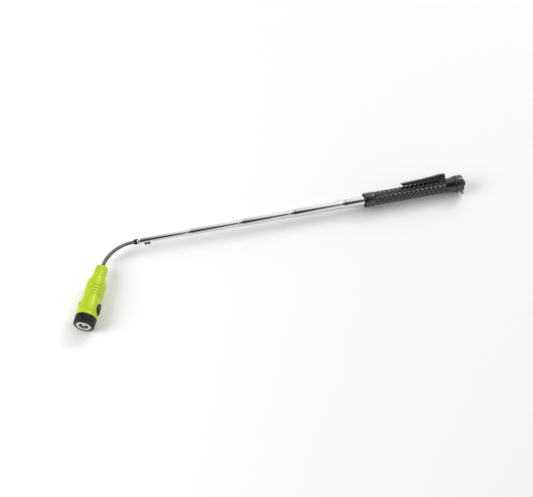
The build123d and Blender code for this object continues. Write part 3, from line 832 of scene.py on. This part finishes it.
slot_cutter = box_at("slot_cutter", switch_station, 11.0, (8.6, 5.4, 4.0))
round_uprights(slot_cutter, 0.8)
only(switch_frame)
slot_cut = switch_frame.modifiers.new("slot_cut", "BOOLEAN")
slot_cut.operation = "DIFFERENCE"
slot_cut.solver = "EXACT"
slot_cut.object = slot_cutter
bpy.ops.object.modifier_apply(modifier=slot_cut.name)
bpy.data.objects.remove(slot_cutter)
break_edges(switch_frame, 0.22, segments=3, angle=50)
over_switch = Vector((0, 0, 1)).rotation_difference(Vector((0, -1, 0)))
switch_black = finish_of("switch_black", (0.007, 0.007, 0.0075), (0.014, 0.014, 0.015), 0.0,
                         (0.32, 0.44), 1100, 0.012)
set_in_place(switch_frame, over_switch, (0, 0, 0))
set_in_place(switch_frame, head_turn, head_front)
dress(switch_frame, switch_black, "black_plastic", "head", "switch_frame")

slide_middle = switch_station - 1.25
ridge_pitch = 1.75
slide_edge = 0.18
slider = box_at("thumb_slide", slide_middle, 9.975, (5.9, 5.2, 1.84))
round_uprights(slider, 0.6)
break_edges(slider, slide_edge, angle=50)
ridges = []
for pitch in (-ridge_pitch, 0, ridge_pitch):
    ridge = box_at("slide_ridge", slide_middle + pitch, 11.15, (0.9, 4.6, 0.95))
    round_uprights(ridge, 0.2)
    break_edges(ridge, slide_edge, angle=50)
    ridges.append(ridge)
joined(slider, *ridges)
set_in_place(slider, over_switch, (0, 0, 0))
set_in_place(slider, head_turn, head_front)
dress(slider, switch_black, "black_plastic", "switch", "switch_slider")

# ---------------------------------------------------------------------------------------------
# Bezel: black anodised aluminium cap that screws on the shell's front, smooth behind, its front edge
# milled into twelve rounded lobes. A thin washer lies behind it.
bezel_black = finish_of("bezel_black", (0.006, 0.006, 0.007), (0.011, 0.011, 0.013), 0.0,
                        (0.20, 0.28), 480, 0.004, stretch=(6, 1, 1), turn=-math.radians(66))
set_input(bezel_black, "Specular IOR Level", 0.3)
lobe_radius = 10.9
bezel_bore = 9.7
bezel_sides = 288
bezel = turned("bezel_cap",
               [(5.3, 7.6), (0.5, 7.6), (0.3, 7.8), (0.3, 9.9), (0.45, 10.25), (0.95, lobe_radius - 0.08),
                (1.3, lobe_radius), (2.8, lobe_radius), (3.1, lobe_radius - 0.05), (3.45, 10.33), (3.8, 10.3),
                (4.1, lobe_radius - 0.04), (4.3, lobe_radius + 0.02), (8.8, 11.22), (9.4, 11.2), (9.77, 11.0),
                (9.77, bezel_bore), (5.6, bezel_bore)], bezel_sides)
scallop(bezel, 12, bezel_sides, lobe_radius + 1.0, 1.9,
        [(0.45, 10.25, 1.0), (0.95, lobe_radius - 0.08, 1.0), (1.3, lobe_radius, 1.0),
         (2.8, lobe_radius, 1.0), (3.1, lobe_radius - 0.05, 1.0), (3.45, 10.33, 0.4)])
only(bezel)
bpy.ops.object.shade_smooth_by_angle(angle=math.radians(28))
set_in_place(bezel, head_turn, head_front)
dress(bezel, bezel_black, "bezel_black", "bezel_group", "bezel")
seal_black = finish_of("seal_black", (0.008, 0.008, 0.008), (0.016, 0.015, 0.015), 0.0,
                       (0.5, 0.65), 1200, 0.01)
finish_node("bezel_washer", seal_black)

# ---------------------------------------------------------------------------------------------
# Magnet: a nickel plated ring set flush in the bezel, with a dark liner in its bore and a steel plate
# behind it.
bright_nickel = finish_of("bright_nickel", (0.74, 0.725, 0.70), (0.84, 0.83, 0.81), 1.0,
                          (0.16, 0.26), 300, 0.003)
magnet_rear = 4.4
magnet = turned("ring_magnet", [(magnet_rear, 5.05), (0.25, 5.05), (0.05, 5.25), (0.02, 7.2),
                                (0.25, 7.5), (magnet_rear, 7.5)], 128, edge=0.05)
set_in_place(magnet, head_turn, head_front)
dress(magnet, bright_nickel, "magnet_nickel", "bezel_group", "magnet_ring")
liner = turned("bore_liner", [(magnet_rear, 4.15), (1.1, 4.15), (0.92, 4.35), (0.92, 4.98),
                              (magnet_rear, 4.98)], 96, edge=0.05)
set_in_place(liner, head_turn, head_front)
smoke_grey = finish_of("smoke_grey", (0.075, 0.085, 0.10), (0.11, 0.125, 0.145), 0.3,
                       (0.18, 0.28), 600, 0.004)
dress(liner, smoke_grey, "black_plastic", "bezel_group", "magnet_liner")
finish_node("magnet_backing", blackened_steel)

# ---------------------------------------------------------------------------------------------
# Light: a white-light chip under a yellow phosphor square on a turned aluminium post, with a clear
# moulded dome over it. The circuit board and its contact lie behind, inside the shell.
bare_aluminium = finish_of("bare_aluminium", (0.52, 0.54, 0.58), (0.66, 0.68, 0.72), 1.0,
                           (0.25, 0.40), 500, 0.004)
post = turned("dome_post", [(7.15, 3.4), (3.5, 3.48), (3.22, 3.3), (3.22, 1.0)], 72, edge=0.05, solid=True)
set_in_place(post, head_turn, head_front)
dress(post, bare_aluminium, "bare_aluminium", "head", "light_post")

phosphor = finish_of("phosphor_yellow", (0.86, 0.46, 0.06), (0.98, 0.62, 0.12), 0.0,
                     (0.45, 0.6), 2500, 0.01)
# The phosphor square has a painted glow: its emission brightens its yellow-orange through the dome, though
# the torch is not lit.
set_input(phosphor, "Emission Color", (1.0, 0.52, 0.04, 1))
set_input(phosphor, "Emission Strength", 2.2)
chip = box_at("phosphor_chip", 2.96, 0, (0.48, 2.6, 2.6))
break_edges(chip, 0.12, segments=3, angle=50)
set_in_place(chip, head_turn, head_front)
dress(chip, phosphor, "phosphor_yellow", "head", "light_chip")

# The clear dome carries a painted grey-blue tint and is only partly clear: the tint stands in for the
# reflections and the dark well that show in it.
clear_dome = finish_of("clear_dome", (0.28, 0.33, 0.40), (0.34, 0.39, 0.46), 0.0,
                       (0.05, 0.08), 400, 0.002)
set_input(clear_dome, "Transmission Weight", 0.55)
set_input(clear_dome, "IOR", 1.46)
dome_radius = 3.08
bpy.ops.object.select_all(action="DESELECT")
bpy.ops.mesh.primitive_uv_sphere_add(segments=64, ring_count=32, radius=dome_radius * mm,
                                     location=(3.19 * mm, 0, 0), rotation=(0, -math.pi / 2, 0))
dome = bpy.context.object
dome.name = "clear_lens"
bpy.ops.object.transform_apply(location=True, rotation=True, scale=True)
bpy.ops.object.mode_set(mode="EDIT")
bpy.ops.mesh.select_all(action="SELECT")
bpy.ops.mesh.bisect(plane_co=(3.17 * mm, 0, 0), plane_no=(1, 0, 0), clear_outer=True, use_fill=True)
bpy.ops.mesh.select_all(action="SELECT")
bpy.ops.mesh.normals_make_consistent(inside=False)
bpy.ops.object.mode_set(mode="OBJECT")
bpy.ops.object.shade_smooth_by_angle(angle=math.radians(35))
set_in_place(dome, head_turn, head_front)
dress(dome, clear_dome, "clear_lens", "head", "light_lens")

board_green = finish_of("board_green", (0.010, 0.060, 0.022), (0.018, 0.095, 0.035), 0.0,
                        (0.3, 0.45), 900, 0.01)
contact_brass = finish_of("contact_brass", (0.50, 0.34, 0.11), (0.66, 0.47, 0.18), 1.0,
                          (0.2, 0.34), 500, 0.004)
finish_node("light_board", board_green)
finish_node("front_contact", contact_brass)
finish_node("switch_contact", contact_brass)

# ---------------------------------------------------------------------------------------------
# Battery: one small cell in a plain shrink wrap, in a pale insulating tube, pressed forward by a
# coil spring of plated wire. All of it is hidden inside the shell.
cell_wrap = finish_of("cell_wrap", (0.012, 0.012, 0.016), (0.03, 0.03, 0.04), 0.0, (0.18, 0.3), 300, 0.004)
pale_nylon = finish_of("pale_nylon", (0.62, 0.60, 0.53), (0.72, 0.70, 0.63), 0.0, (0.45, 0.6), 600, 0.01)
spring_wire = finish_of("spring_wire", (0.45, 0.45, 0.46), (0.60, 0.60, 0.61), 1.0, (0.16, 0.28), 700, 0.003)
finish_node("battery_cell", cell_wrap)
finish_node("battery_sleeve", pale_nylon)
finish_node("rear_spring", spring_wire)
